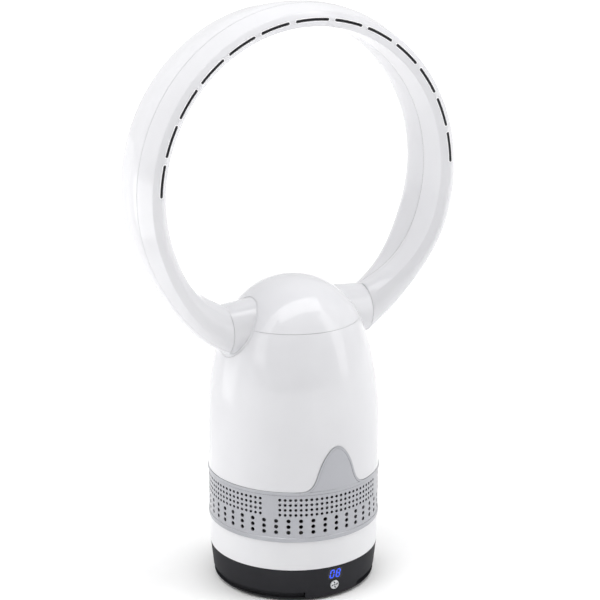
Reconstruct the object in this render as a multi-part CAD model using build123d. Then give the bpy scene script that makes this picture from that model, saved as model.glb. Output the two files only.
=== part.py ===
from build123d import *
from math import acos, asin, cos, degrees, hypot, pi, radians, sin, sqrt, tan
import os

# Bladeless table fan. Lengths in mm, +Z up, origin on the floor under the base, front faces -Y.

# ---- heights, from the floor up ---------------------------------------------------------
foot_stand = 1.5            # how far the feet lift the base
cover_thickness = 2.9
recess_top = 10.9           # lower edge of the base wall, where the shadow recess ends
base_top = 37.6             # joint between the black base and the white skirt
swing_gap = 0.4             # air between the turning and the standing part
skirt_height = 32.1
grille_height = 56.7
bell_rise = 47.3            # the bell-shaped tongue stands this far over the grille
body_height = 165.3         # from the grille to the seam of the dome
dome_rise = 44.2
tilt_drop = 3.2             # the axis of the collars lies this far under the seam of the dome

# ---- walls and clearances ---------------------------------------------------------------
wall = 2.5                  # moulded outer walls
inner_wall = 2.2            # moulded inner walls
seam = 0.3                  # hairline between neighbouring covers
running = 0.08              # radial clearance of a turning fit
screw_fit = 0.02
screw_radius = 1.5
screw_head_radius = 2.8
screw_head_height = 1.7

# ---- base -------------------------------------------------------------------------------
base_top_radius = 91.0
base_taper = 3.6            # the wall leans in by this much towards its lower edge
base_round, base_round_width = 3.0, 3.8     # height and width of the rounded lower edge
tab_half_angle = 21.3       # the front tab that closes the recess, degrees
deck_thickness = 2.7
hub_radius = 28.0
hub_bore = 20.0
foot_radius, foot_height, foot_inset = 7.0, 2.5, 15.6
foot_angles = (60, 120, 240, 300)
cover_screw_inset = 11.6
cover_screw_angles = (32, 148, 212, 328)
cover_screw_length, gear_screw_length, frame_screw_length = 10.0, 11.0, 14.0
boss_radius = 4.5
thrust_inner, thrust_outer, thrust_height = 60.0, 68.0, 1.8
thrust_lift = 0.1           # the thrust ring stands this much above the deck

# ---- display, button and board ----------------------------------------------------------
display_width, display_height, display_drop = 17.0, 12.6, 8.8   # drop from the base's top
window_corner = 1.6
window_thickness = 1.3
digit_width, digit_height, digit_gap = 5.4, 10.2, 1.9
segment_width, segment_gap, digit_slant = 1.35, 0.25, 7.0
digit_depth, digit_proud = 0.3, 0.08
button_radius, button_drop, button_gap = 5.1, 22.2, 0.4
button_proud, stem_depth = 0.5, 1.1         # the stem's end lies this deep in the switch
button_lip, button_lip_gap = 0.9, 1.4
stem_radius, stem_gap = 1.6, 0.15
board_width, board_height, board_thickness = 38.0, 25.0, 1.6
board_inset = 9.4           # from the lower edge of the wall to the board's front face
board_post_radius, board_post_place = 2.4, 14.0
switch_size, switch_depth = 6.0, 3.5
inlet_height, inlet_radius, inlet_bore, inlet_pin = 20.0, 4.0, 2.8, 1.0
inlet_body, inlet_length, inlet_shoulder, inlet_bore_depth = 10.0, 12.0, 1.2, 9.0

# ---- swing drive ------------------------------------------------------------------------
gear_module, gear_teeth, pinion_teeth = 1.5, 60, 15
pressure_angle = 20.0
tooth_addendum, tooth_dedendum = 0.8, 1.1     # in modules
tooth_backlash = 0.2
sector_side_teeth = 9       # teeth on each side of the middle one
gear_thickness = 5.0
retainer_radius = 36.0
gear_screw_count, gear_screw_place = 3, 24.0
motor_can_radius, motor_can_height, motor_offset = 14.0, 19.0, 8.0
motor_ear_span, motor_ear_thickness = 17.5, 0.8
pinion_bore = 2.5

# ---- skirt, grille and frame ------------------------------------------------------------
skirt_proud = 0.0           # the skirt stands this much outside the base
turntable_thickness, turntable_gap = 3.0, 0.2
ledge_thickness, ledge_width = 2.5, 13.0
grille_proud, grille_wall = 1.0, 1.7        # the grille stands outside the skirt
lip_height, low_lip_height, lip_rise = 3.4, 5.4, 0.6
large_columns, large_rows, large_radius = 44, 3, 2.2
large_row_lift, large_row_pitch = 11.4, 6.4     # lift of the first row over the grille's foot
small_columns, small_rows, small_radius = 23, 4, 1.55
small_row_lift, small_row_pitch, small_column_pitch = 31.1, 5.6, 3.49
small_fields = 4
bell_half_width = 40.0
bell_shoulder, bell_shoulder_rise = 19.3, 25.0
bell_lip = 2.4
tongue_proud, tongue_rim_proud = 0.3, 0.4   # the tongue over the body, and its rim over the tongue
frame_gap, frame_wall = 0.4, 2.5
post_half_angle = 5.0
frame_rise = 6.2            # the frame stands this far over the grille
frame_screw_inset = 8.5

# ---- air path ---------------------------------------------------------------------------
duct_radius = 60.5
shroud_flange = 2.5
inlet_rise = 8.0            # from the frame up to the impeller
impeller_height, tip_gap = 27.0, 1.3
impeller_hub_low, impeller_hub_high = 14.0, 34.0
blade_count, blade_thickness, blade_margin = 7, 1.8, 4.0
motor_radius, motor_height, motor_rise = 26.5, 30.0, 6.0    # rise over the impeller
bush_thickness = 1.0
diffuser_rise = 4.0         # over the motor
shroud_rise = 9.0           # over the impeller
vane_count, vane_thickness = 9, 1.6
shaft_radius = 3.0
crossover_radius = 23.3
stack_radius, stack_height = 24.0, 28.0
duct_end_gap = 3.0          # air between the cross tube and the trunnions

# ---- body, dome and collars -------------------------------------------------------------
body_proud = 0.6            # the body stands outside the grille
# Narrowing of the wall from the grille up, with the distance below the seam of the dome.
body_narrowing = ((0.05, 127.1), (0.6, 96.8), (4.2, 62.8), (9.5, 36.0), (22.4, 0.0))
seam_lean = 0.5             # slope of the wall at the seam of the dome
dome_half_height = 81.8
collar_reach = 13.4         # joint between collar and arm, outside the seam of the dome
collar_length = 33.6
collar_end_radius, collar_root_radius = 26.2, 29.0
collar_opening = 29.8
collar_bore = 23.4
trunnion_radius, trunnion_bore = 22.0, 19.8
trunnion_length, trunnion_reach, trunnion_lip = 17.6, 3.2, 3.5

# ---- ring -------------------------------------------------------------------------------
ring_radius = 172.0         # middle of the band
ring_wall = 2.4
arm_end_wall = 3.0
band_start_angle = 76.0     # from the bottom of the ring: above it the band is even
# Place and facing of each section of the arm, as angles from the bottom of the ring.
arm_stations = ((37, 33), (45, 43), (53, 52.5), (61, 61), (68, 68), (73.5, 73.5))
arm_rise = 13.5             # the first section of the arm lies this far over the collar's axis
arm_slope = 29.0            # the arm leaves the collar at this slope, which narrows its section
morph_low, morph_high = 29.1, 72.0
slot_inset, slot_width = 1.8, 3.2       # the slots lie inside the middle of the band
slot_side_count, slot_pitch, slot_first, slot_span, slot_top_span = 6, 13.5, 14.4, 11.2, 13.0
slot_reach = 8.0            # the cutters of the slots reach this far before and behind the nose
nozzle_gap, nozzle_slit, nozzle_sink = 0.15, 1.1, 0.5
strip_depth, strip_thickness, strip_width, strip_half_angle = 32.4, 1.2, 5.8, 88.5
nose_depth = 40.0           # the nose of the ring stands this far before the tilt axis
# Corners of the band's section: outwards from the middle, backwards, and the angle at which
# the same corner sits on the round arm.
outer_curve = ((5.8, -35.5, -58), (12.2, -11, -22), (7.9, 31.7, 50), (0.5, 41.5, 90))
inner_curve = ((0.5, 41.5, 90), (-7.3, 36.8, 126), (-10.0, 0.5, 188), (-9.6, -33.5, 232))
nose_curve = ((-9.6, -33.5, 232), (-1.8, -40.0, 268), (5.8, -35.5, 302))
outer_slopes = ((0.28, 1.0), (-1.0, 0.0))
inner_slopes = ((-1.0, 0.0), (0.05, -1.0))
nose_slopes = ((0.75, -0.66), (0.8, 0.6))
seam_outer, seam_inner = (12.0, -12.0), (-10.0, 0.5)   # seam of the shells on both skins

# ---- derived radii ----------------------------------------------------------------------
base_low_radius = base_top_radius - base_taper
base_foot_radius = base_low_radius - base_round_width
foot_place = base_foot_radius - foot_inset
cover_screw_place = base_foot_radius - cover_screw_inset
board_front = base_low_radius - board_inset
front_reach = base_top_radius - board_front + wall      # from the board out past the wall
skirt_radius = base_top_radius + skirt_proud
turntable_radius = skirt_radius - wall - turntable_gap
grille_radius = skirt_radius + grille_proud
frame_outer = grille_radius - grille_wall - frame_gap
frame_screw_place = skirt_radius - frame_screw_inset
body_radius = grille_radius + body_proud
dome_seam_radius = body_radius - body_narrowing[-1][0]
collar_end = dome_seam_radius + collar_reach            # plane of the joint between collar and arm
collar_root = collar_end - collar_length
trunnion_inner = collar_end - trunnion_length
arm_start = collar_end + seam
slot_circle = ring_radius - slot_inset

# ---- derived heights --------------------------------------------------------------------
button_height = base_top - button_drop
display_middle = base_top - display_drop
grille_bottom = base_top + swing_gap + skirt_height
grille_top = grille_bottom + grille_height
bell_peak = grille_top + bell_rise
frame_top = grille_top + frame_rise
impeller_low = frame_top + inlet_rise
impeller_high = impeller_low + impeller_height
shroud_top = impeller_high + shroud_rise
motor_low = impeller_high + motor_rise
motor_high = motor_low + motor_height
diffuser_top = motor_high + diffuser_rise
dome_seam = grille_top + body_height
dome_top = dome_seam + dome_rise
tilt_height = dome_seam - tilt_drop                     # axis of the collars
ring_height = tilt_height + arm_rise + ring_radius * cos(radians(arm_stations[0][0]))
deck_low = base_top - deck_thickness
skirt_low = base_top + swing_gap
turntable_top = skirt_low + turntable_thickness
cover_top = foot_stand + cover_thickness
gear_top = deck_low - swing_gap
gear_low = gear_top - gear_thickness
gear_radius = gear_module * gear_teeth / 2
pinion_radius = gear_module * pinion_teeth / 2
pinion_place = gear_radius + pinion_radius
motor_can_place = pinion_place + motor_offset
ledge_top = turntable_top + ledge_thickness
dome_middle = dome_top - dome_half_height
dome_half_width = dome_seam_radius / sqrt(1 - ((dome_seam - dome_middle) / dome_half_height) ** 2)


def turned(*points):
    """Solid turned about the vertical axis from corners given as radius and height."""
    return revolve(make_face(Plane.XZ * Polyline(*points, close=True)), Axis.Z)


def tube(outer, inner, low, high):
    """Upright tube between two heights."""
    return Pos(0, 0, low) * extrude(Circle(outer) - Circle(inner), high - low)


def rod(radius, low, high):
    """Upright round bar between two heights."""
    return Pos(0, 0, low) * extrude(Circle(radius), high - low)


def at_angle(place, angle, shape):
    """The shape moved out along +X and turned about the vertical axis."""
    return Rot(0, 0, angle) * Pos(place, 0, 0) * shape


def side_rod(radius, start, end, height):
    """Round bar along X at the given height."""
    return Plane((start, 0, height), z_dir=(1, 0, 0)) * extrude(Circle(radius), end - start)


def front_plane(distance, height):
    """Plane that faces the front, at a distance before the axis, with X to the right."""
    return Plane((0, -distance, height), x_dir=(1, 0, 0), z_dir=(0, -1, 0))


def front_rod(radius, start, end, height, x=0.0):
    """Round bar along Y, between two distances in front of the axis."""
    return Plane((x, -start, height), z_dir=(0, -1, 0)) * extrude(Circle(radius), end - start)


def front_wedge(half_angle, high):
    """Upright wedge that opens from the axis towards the front."""
    reach = 2 * body_radius
    side = reach * tan(radians(half_angle))
    return extrude(make_face(Polyline((0, 0), (-side, -reach), (side, -reach), close=True)), high)


def screw(length):
    """Pan head screw, head down, with the top of its head at height 0."""
    return rod(screw_head_radius, -screw_head_height, 0) + rod(screw_radius, 0, length)


# ---- base -------------------------------------------------------------------------------
def base_skin(depth, thickness):
    """The curved wall of the base, from a depth under its outer face, with a thickness."""
    def face(inset):
        """Closed profile of the whole base, drawn in from its outer face."""
        top = Line((base_top_radius - inset, base_top), (base_low_radius - inset, foot_stand + base_round))
        low = RadiusArc(top @ 1, (base_foot_radius - inset, foot_stand), base_round * 1.9)
        foot = Polyline(low @ 1, (0, foot_stand), (0, base_top), top @ 0)
        return revolve(make_face(Plane.XZ * (top + low + foot)), Axis.Z)
    return face(depth) - face(depth + thickness)


def make_base_shell():
    """Black wall with its deck, front tab, recess, screw bosses and openings."""
    deck = rod(base_top_radius - wall, deck_low, base_top)
    shell = base_skin(0, wall) + deck
    recess = rod(base_top_radius + 1, 0, recess_top) - front_wedge(tab_half_angle, recess_top)
    shell -= recess
    for angle in cover_screw_angles:
        shell += at_angle(cover_screw_place, angle, rod(boss_radius, cover_top, deck_low))
        shell -= at_angle(cover_screw_place, angle, rod(screw_radius + screw_fit, cover_top, cover_top + 12))
    for side in (-1, 1):
        ear = Pos(motor_can_place, side * motor_ear_span, 0)
        shell += ear * rod(boss_radius - 0.5, gear_low - 2, deck_low)
        post_end = base_low_radius - wall / 2
        shell += front_rod(board_post_radius, board_front, post_end, button_height, side * board_post_place)
    shell -= rod(hub_radius + running, deck_low - 1, base_top + 1)
    groove_low = base_top + thrust_lift - thrust_height
    shell -= tube(thrust_outer + screw_fit, thrust_inner - screw_fit, groove_low, base_top + 1)
    shell -= window_prism(0) & base_skin(-1, window_thickness + 1)
    light = Pos(0, -base_top_radius, display_middle - 0.2) * Box(display_width - 2, 12, display_height - 3)
    shell -= light
    outside = board_front + front_reach
    shell -= front_rod(button_radius + button_gap, board_front + 4, outside, button_height)
    shell -= Rot(0, 0, 180) * front_rod(inlet_radius + running, board_front, outside, inlet_height)
    return shell


def window_prism(inset):
    """Front block with the window's rounded outline, for cutting the curved wall."""
    outline = RectangleRounded(display_width - 2 * inset, display_height - 2 * inset, window_corner)
    return front_plane(board_front, display_middle) * extrude(outline, front_reach)


def segment(length):
    """One bar of a digit with pointed ends, lying along X."""
    half, point = length / 2, segment_width / 2
    upper = [(-half, 0), (-half + point, point), (half - point, point), (half, 0)]
    lower = [(half - point, -point), (-half + point, -point)]
    return make_face(Polyline(*upper, *lower, close=True))


def digit(lit):
    """The lit bars of one digit, named clockwise a to f from the top, with g across."""
    across, down = digit_width - segment_width, (digit_height - segment_width) / 2
    places = {
        "a": (0, down, False), "g": (0, 0, False), "d": (0, -down, False),
        "f": (-across / 2, down / 2, True), "b": (across / 2, down / 2, True),
        "e": (-across / 2, -down / 2, True), "c": (across / 2, -down / 2, True),
    }
    bars = []
    for name in lit:
        x, y, upright = places[name]
        length = (down if upright else across) - segment_gap
        lean = y * tan(radians(digit_slant))
        turn = Rot(0, 0, 90 - digit_slant if upright else 0)
        bars.append(Pos(x + lean, y) * turn * segment(length))
    return bars


def make_display():
    """Window and lit digits, both cut from the curved wall."""
    step = (digit_width + digit_gap) / 2
    bars = [Pos(-step, 0) * bar for bar in digit("abcdef")]
    bars += [Pos(step, 0) * bar for bar in digit("abcdefg")]
    front = front_plane(board_front, display_middle)
    prisms = [front * extrude(bar, front_reach) for bar in bars]
    skin = base_skin(-digit_proud, digit_depth + digit_proud)
    digits = [prism & skin for prism in prisms]
    window = window_prism(seam / 2) & base_skin(0, window_thickness - seam / 3)
    return window - prisms_cut(prisms), Compound(children=[piece.solids()[0] for piece in digits])


def prisms_cut(prisms):
    """The layer of the window that the digits fill."""
    layer = base_skin(-1, 1 + digit_depth)
    return [prism & layer for prism in prisms]


def make_bottom_cover():
    """Floor plate with its flared rim, the back wall of the recess and the foot pockets."""
    rim = RadiusArc((base_foot_radius, foot_stand), (base_low_radius - 0.2, cover_top), -base_round * 1.9)
    edge = Polyline(rim @ 1, (0, cover_top), (0, foot_stand), rim @ 0)
    cover = revolve(make_face(Plane.XZ * (rim + edge)), Axis.Z)
    cover += tube(base_foot_radius, base_foot_radius - inner_wall, foot_stand, recess_top + 4)
    tab = front_wedge(tab_half_angle + 0.4, base_top)
    cover -= tube(base_top_radius, base_foot_radius - wall - seam, 0, base_top) & tab
    for angle in foot_angles:
        cover -= at_angle(foot_place, angle, rod(foot_radius, 0, foot_height))
    for angle in cover_screw_angles:
        head = rod(screw_head_radius + 0.3, 0, foot_stand + screw_head_height + 0.2)
        cover -= at_angle(cover_screw_place, angle, head + rod(screw_radius + 0.2, 0, cover_top + 1))
    return cover


def make_rubber_feet():
    """Four round feet in the pockets of the cover."""
    foot = chamfer(rod(foot_radius - screw_fit, 0, foot_height).edges().sort_by(Axis.Z)[0], 0.5)
    return Compound(children=[at_angle(foot_place, angle, foot) for angle in foot_angles])


def make_cover_screws():
    """Four screws that hold the cover to the bosses of the base."""
    one = Pos(0, 0, foot_stand + screw_head_height + 0.2) * screw(cover_screw_length)
    return Compound(children=[at_angle(cover_screw_place, angle, one) for angle in cover_screw_angles])


def make_button():
    """Round button with its slightly crowned face, inner lip and stem."""
    skin = base_low_radius + base_taper * (button_height - foot_stand) / base_top
    face, back = skin + button_proud, skin - wall - button_lip_gap
    cap = fillet(front_rod(button_radius, back, face, button_height).edges().sort_by(Axis.Y)[0], 0.6)
    lip = front_rod(button_radius + button_lip, back - 1, back, button_height)
    stem = front_rod(stem_radius, board_front + switch_depth - stem_depth, back, button_height)
    return cap + lip + stem


def make_board():
    """Circuit board behind the front wall."""
    place = Pos(0, -board_front + board_thickness / 2, cover_top + 1.0 + board_height / 2)
    return place * Box(board_width, board_thickness, board_height)


def make_switch():
    """Push switch on the board, bored for the stem of the button."""
    place = Pos(0, -board_front - switch_depth / 2, button_height)
    bore_end = board_front + switch_depth + 1
    bore = front_rod(stem_radius + stem_gap, board_front + 1, bore_end, button_height)
    return place * Box(switch_size, switch_depth, switch_size) - bore


def make_display_module():
    """Block of the lamp module between the board and the window."""
    depth = base_top_radius - wall - 1.6 - board_front
    size = (display_width - 3, depth, display_height - 4)
    return Pos(0, -board_front - depth / 2, display_middle - 0.2) * Box(*size)


def make_power_inlet():
    """Low voltage socket at the back of the base."""
    face = base_low_radius + inlet_shoulder
    inner = face - inlet_length - wall
    depth = inlet_length - inlet_shoulder
    housing = Pos(0, -inner - depth / 2, inlet_height) * Box(inlet_body, depth, inlet_body)
    barrel = front_rod(inlet_radius, inner + depth, face, inlet_height)
    bore = front_rod(inlet_bore, face - inlet_bore_depth, face + 1, inlet_height)
    bore -= front_rod(inlet_pin, face - inlet_bore_depth, face - 1, inlet_height)
    return Rot(0, 0, 180) * (housing + barrel - bore)


# ---- swing drive ------------------------------------------------------------------------
def involute(base, radius):
    """Angle of the involute of a base circle where it reaches a radius."""
    roll = acos(min(1.0, base / radius))
    return tan(roll) - roll


def tooth(count):
    """Flat outline of one gear tooth centred on +X."""
    pitch = gear_module * count / 2
    base = pitch * cos(radians(pressure_angle))
    tip, root = pitch + tooth_addendum * gear_module, pitch - tooth_dedendum * gear_module
    half = pi / (2 * count) - tooth_backlash / (4 * pitch) + involute(base, pitch)
    low = max(base, root) + 0.02
    radii = [low + (tip - low) * step / 3 for step in range(4)]
    upper = [(r * cos(half - involute(base, r)), r * sin(half - involute(base, r))) for r in radii]
    lower = [(x, -y) for x, y in reversed(upper)]
    heel = (root - 0.6) * cos(half), (root - 0.6) * sin(half)
    flank = Spline(*upper)
    other = Spline(*lower)
    edges = Line(heel, upper[0]) + flank + Line(upper[-1], lower[0]) + other
    edges += Line(lower[-1], (heel[0], -heel[1])) + Line((heel[0], -heel[1]), heel)
    return make_face(edges)


def make_swing_gear():
    """Toothed sector under the deck, which also keeps the turntable from lifting."""
    root = gear_radius - tooth_dedendum * gear_module
    pitch = 360 / gear_teeth
    reach = (sector_side_teeth + 0.5) * pitch
    spokes = [radians(reach * k / 4) for k in range(-4, 5)]
    fan_out = [(2 * root * cos(spoke), 2 * root * sin(spoke)) for spoke in spokes]
    web = Circle(root) & make_face(Polyline((0, 0), *fan_out, close=True))
    plate = Circle(retainer_radius) + web
    places = range(-sector_side_teeth, sector_side_teeth + 1)
    plate += [Rot(0, 0, pitch * k) * tooth(gear_teeth) for k in places]
    plate -= Circle(hub_bore)
    plate -= [at_angle(gear_screw_place, a, Circle(screw_radius + 0.2)) for a in gear_screw_angles()]
    return Pos(0, 0, gear_low) * extrude(plate, gear_thickness)


def gear_screw_angles():
    """Places of the gear's screws, away from the toothed side."""
    return [60 + 360 * k / gear_screw_count for k in range(gear_screw_count)]


def make_gear_screws():
    """Screws that clamp the gear to the hub of the turntable."""
    one = Pos(0, 0, gear_low) * screw(gear_screw_length)
    return Compound(children=[at_angle(gear_screw_place, angle, one) for angle in gear_screw_angles()])


def make_pinion():
    """Pinion in mesh with the sector at rest, bored for the motor shaft."""
    wheel = Circle(pinion_radius - tooth_dedendum * gear_module)
    wheel += [Rot(0, 0, 360 / pinion_teeth * k) * tooth(pinion_teeth) for k in range(pinion_teeth)]
    wheel -= Circle(pinion_bore)
    return Pos(pinion_place, 0, gear_low) * extrude(wheel, gear_thickness)


def make_gear_motor():
    """Flat geared motor with two ears, hung under the bosses of the deck."""
    top = gear_low - 2
    can = Pos(motor_can_place, 0, 0) * rod(motor_can_radius, top - motor_can_height, top)
    ears = Box(2 * boss_radius - 2, 2 * motor_ear_span + 7, motor_ear_thickness)
    can += Pos(motor_can_place, 0, top - motor_ear_thickness / 2) * ears
    return can + Pos(pinion_place, 0, 0) * rod(pinion_bore - running, top - 1, gear_top)


def make_thrust_ring():
    """Slippery ring in the deck that the turntable slides on."""
    return tube(thrust_outer, thrust_inner, base_top + thrust_lift - thrust_height, base_top + thrust_lift)


def make_turntable():
    """Floor of the turning part with the hub that reaches through the deck."""
    plate = tube(turntable_radius, hub_bore, skirt_low, turntable_top)
    plate += tube(hub_radius, hub_bore, gear_top, turntable_top)
    thread = rod(screw_radius + screw_fit, gear_top - 1, turntable_top + 1)
    for angle in gear_screw_angles():
        plate -= at_angle(gear_screw_place, angle, thread)
    for angle in post_angles():
        well = rod(screw_head_radius + 0.3, skirt_low - 1, skirt_low + 2)
        well += rod(screw_radius + 0.2, skirt_low, turntable_top + 1)
        plate -= at_angle(frame_screw_place, angle, well)
    return plate


# ---- skirt, grille and frame ------------------------------------------------------------
def post_angles():
    """Places of the frame's posts, in the plain strips between the fields of small holes."""
    return [45 + 90 * k for k in range(4)]


def make_skirt():
    """White band between the base and the grille, with the ledge that seats on the turntable."""
    skirt = tube(skirt_radius, skirt_radius - wall, skirt_low, grille_bottom)
    skirt += tube(skirt_radius - wall / 2, skirt_radius - ledge_width, turntable_top, ledge_top)
    hole = rod(screw_radius + 0.2, turntable_top - 1, ledge_top + 1)
    return skirt - [at_angle(frame_screw_place, angle, hole) for angle in post_angles()]


def make_intake_frame():
    """Dark cage behind the grille: two rings, four posts and the screw bosses."""
    low_outer = turntable_radius
    cage = tube(low_outer, low_outer - frame_wall, ledge_top, grille_bottom + 4)
    cage += tube(frame_outer, low_outer - frame_wall, grille_bottom, grille_bottom + 4)
    cage += tube(frame_outer, frame_outer - frame_wall, frame_top - 13, frame_top)
    pillar = tube(frame_outer, frame_outer - 2 * frame_wall, grille_bottom, frame_top)
    pillar &= front_wedge(post_half_angle, frame_top)
    for angle in post_angles():
        cage += Rot(0, 0, angle + 90) * pillar
        cage += at_angle(frame_screw_place, angle, rod(boss_radius, ledge_top, ledge_top + 16))
        thread = rod(screw_radius + screw_fit, ledge_top - 1, ledge_top + 13)
        cage -= at_angle(frame_screw_place, angle, thread)
    return cage


def make_frame_screws():
    """Screws from the turntable through the skirt's ledge into the frame."""
    one = Pos(0, 0, skirt_low + 2) * screw(frame_screw_length)
    return Compound(children=[at_angle(frame_screw_place, angle, one) for angle in post_angles()])


def bell_prism(inset, low):
    """Front block with the outline of the bell-shaped tongue, drawn in by an inset."""
    side, shoulder, foot = bell_half_width - inset, bell_shoulder - inset, grille_top - inset
    middle = grille_top + bell_shoulder_rise
    corners = (-side, foot), (-shoulder, middle), (0, bell_peak - inset), (shoulder, middle), (side, foot)
    curve = Spline(*corners, tangents=((1, 0), (1, 0)))
    rim = Polyline(curve @ 1, (side, low), (-side, low), curve @ 0)
    return front_plane(0, 0) * extrude(make_face(curve + rim), body_radius + 5)


def hole_tools():
    """Cutters for every hole: large ones all round, small ones in four fields."""
    tools = []
    for column in range(large_columns):
        for row in range(large_rows):
            height = grille_bottom + large_row_lift + row * large_row_pitch
            tools.append(wall_hole(large_radius, 360 * column / large_columns, height, 6))
    for field in range(small_fields):
        for column in range(small_columns):
            turn = 360 * field / small_fields + (column - (small_columns - 1) / 2) * small_column_pitch
            for row in range(small_rows):
                height = grille_bottom + small_row_lift + row * small_row_pitch
                tools.append(wall_hole(small_radius, turn, height, 4))
    return tools


def wall_hole(radius, turn, height, sides):
    """Cutter through the grille wall, with the area of a round hole but few faces."""
    across = radius * sqrt(2 * pi / (sides * sin(2 * pi / sides)))
    outline = Rot(0, 0, 180 / sides) * RegularPolygon(across, sides)
    place = front_plane(grille_radius - 4, height)
    return Rot(0, 0, turn) * (place * extrude(outline, 8))


def make_grille():
    """Silver band with raised lips, the bell-shaped tongue and the holes."""
    inside = grille_radius - grille_wall
    lip = grille_radius + lip_rise
    rim_top = grille_bottom + low_lip_height
    low_lip = ((inside, grille_bottom), (lip - 1, grille_bottom), (lip, grille_bottom + 1),
               (lip, rim_top - 0.4), (grille_radius, rim_top), (inside, rim_top))
    band = tube(grille_radius, inside, grille_bottom, grille_top - lip_height / 2)
    band += turned(*low_lip)
    tongue_face = body_radius + tongue_proud
    rim_face = tongue_face + tongue_rim_proud
    high_lip = tube(lip + 0.5, inside, grille_top - lip_height, grille_top)
    tongue = bell_prism(0, grille_top - lip_height)
    tongue &= tube(rim_face, tongue_face - grille_wall, 0, bell_peak + 1)
    field = bell_prism(bell_lip, grille_top - 2 * lip_height)
    field &= tube(rim_face + 5, tongue_face, 0, bell_peak)
    return (band + high_lip + tongue - field) - hole_tools()


# ---- air path ---------------------------------------------------------------------------
def make_shroud():
    """Inlet plate and duct round the impeller."""
    outer = duct_radius + inner_wall
    flange_top = frame_top + shroud_flange
    mouth = RadiusArc((duct_radius + 7, frame_top), (duct_radius, frame_top + 7), 7)
    rim = Polyline(mouth @ 1, (duct_radius, shroud_top), (outer, shroud_top), (outer, flange_top + 6),
                   (outer + 6, flange_top), (frame_outer, flange_top), (frame_outer, frame_top), mouth @ 0)
    return revolve(make_face(Plane.XZ * (mouth + rim)), Axis.Z)


def blade_section(radius, lean):
    """Thin leaf on a plane at a radius, leaning from the vertical by an angle."""
    middle = (impeller_low + impeller_high) / 2
    chord = (impeller_high - impeller_low - blade_margin) / cos(radians(lean))
    place = Plane((radius, 0, middle), x_dir=(0, 1, 0), z_dir=(1, 0, 0))
    half, flat = blade_thickness / 2, chord / 4
    corners = ((0, -chord / 2), (half, -flat), (half, flat), (0, chord / 2), (-half, flat), (-half, -flat))
    return place * Rot(0, 0, lean) * make_face(Polyline(*corners, close=True))


def make_impeller():
    """Mixed-flow wheel: a flared hub and twisted blades."""
    tip = duct_radius - tip_gap
    bore = shaft_radius + screw_fit
    hub = turned((bore, impeller_low), (impeller_hub_low, impeller_low),
                 (impeller_hub_high, impeller_high), (bore, impeller_high))
    leaf = loft([blade_section(radius, lean) for radius, lean in ((8, 28), (36, 46), (tip + 3, 60))])
    leaf -= tube(2 * tip, tip, impeller_low - 1, impeller_high + 1)
    return hub + [Rot(0, 0, 360 / blade_count * k) * leaf for k in range(blade_count)]


def make_motor():
    """Motor can, bored for the shaft."""
    can = chamfer(rod(motor_radius, motor_low, motor_high).edges().filter_by(GeomType.CIRCLE), 1.2)
    return can - rod(shaft_radius + running, motor_low - 1, motor_high - 3)


def make_shaft():
    """Motor shaft that carries the impeller."""
    return rod(shaft_radius, impeller_low + 2, motor_high - 5)


def make_motor_bush():
    """Rubber sleeve between the motor and the diffuser."""
    return tube(motor_radius + bush_thickness, motor_radius + screw_fit, motor_low + 5, motor_high - 5)


def make_diffuser():
    """Ring, cup and straight vanes that carry the motor and calm the air."""
    cup = motor_radius + bush_thickness + screw_fit
    outer = duct_radius + inner_wall
    ring = tube(outer, duct_radius, shroud_top, diffuser_top)
    core = tube(cup + inner_wall, cup, motor_low + 4, diffuser_top - 2)
    core += tube(cup + inner_wall, motor_radius - 6, motor_high + seam, motor_high + seam + inner_wall)
    vane = Pos((cup + inner_wall + duct_radius) / 2, 0, (shroud_top + diffuser_top) / 2)
    vane = vane * Box(duct_radius - cup - inner_wall + 1.5, vane_thickness, diffuser_top - shroud_top - 8)
    return ring + core + [Rot(0, 0, 360 / vane_count * k) * vane for k in range(vane_count)]


def make_head_duct():
    """Funnel from the diffuser up to the cross tube that feeds both collars."""
    outer = duct_radius + inner_wall

    def body(inset, low):
        """Filled form of the duct, drawn in by a wall."""
        wide, narrow = outer - inset, stack_radius - inset
        end = trunnion_inner - duct_end_gap + inset
        stack = turned((0, low), (wide, low), (wide, diffuser_top + 6), (narrow, tilt_height - stack_height),
                       (narrow, tilt_height), (0, tilt_height))
        return stack + side_rod(crossover_radius - inset, -end, end, tilt_height)
    return body(0, diffuser_top) - body(inner_wall, diffuser_top - 1)


# ---- body, dome and collars -------------------------------------------------------------
def body_profile(inset):
    """Line of the body wall from the grille up to the dome seam."""
    keys = [(body_radius - inset - narrowing, dome_seam - drop) for narrowing, drop in body_narrowing]
    start = (body_radius - inset, grille_top + seam)
    return Spline(start, *keys, tangents=((0, 1), (-seam_lean, 1)))


def body_form(inset):
    """Filled form of the body, drawn in by an inset."""
    side = body_profile(inset)
    rest = Polyline(side @ 1, (0, dome_seam), (0, grille_top + seam), side @ 0)
    return revolve(make_face(Plane.XZ * (side + rest)), Axis.Z)


def dome_form(inset, low):
    """Filled form of the dome above a height, drawn in by an inset."""
    wide, tall = dome_half_width - inset, dome_half_height - inset
    start = degrees(asin((low - dome_middle) / tall))
    side = Pos(0, dome_middle) * EllipticalCenterArc((0, 0), wide, tall, start, arc_size=90 - start)
    rest = Polyline(side @ 1, (0, low), side @ 0)
    return revolve(make_face(Plane.XZ * (side + rest)), Axis.Z)


def make_body_shell():
    """Tall white wall with the seat for the tongue and the openings for the collars."""
    shell = body_form(0) - body_form(wall)
    ledge_low = frame_top + shroud_flange
    shell += tube(body_radius - wall / 2, frame_outer - 5, ledge_low, ledge_low + inner_wall)
    shell -= side_rod(collar_opening, -body_radius, body_radius, tilt_height)
    floor = body_radius + tongue_proud - grille_wall - seam / 2
    pocket = bell_prism(-seam / 2, grille_top - 1)
    pocket &= tube(body_radius + wall, floor, 0, bell_peak + 1)
    return shell - pocket


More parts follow.
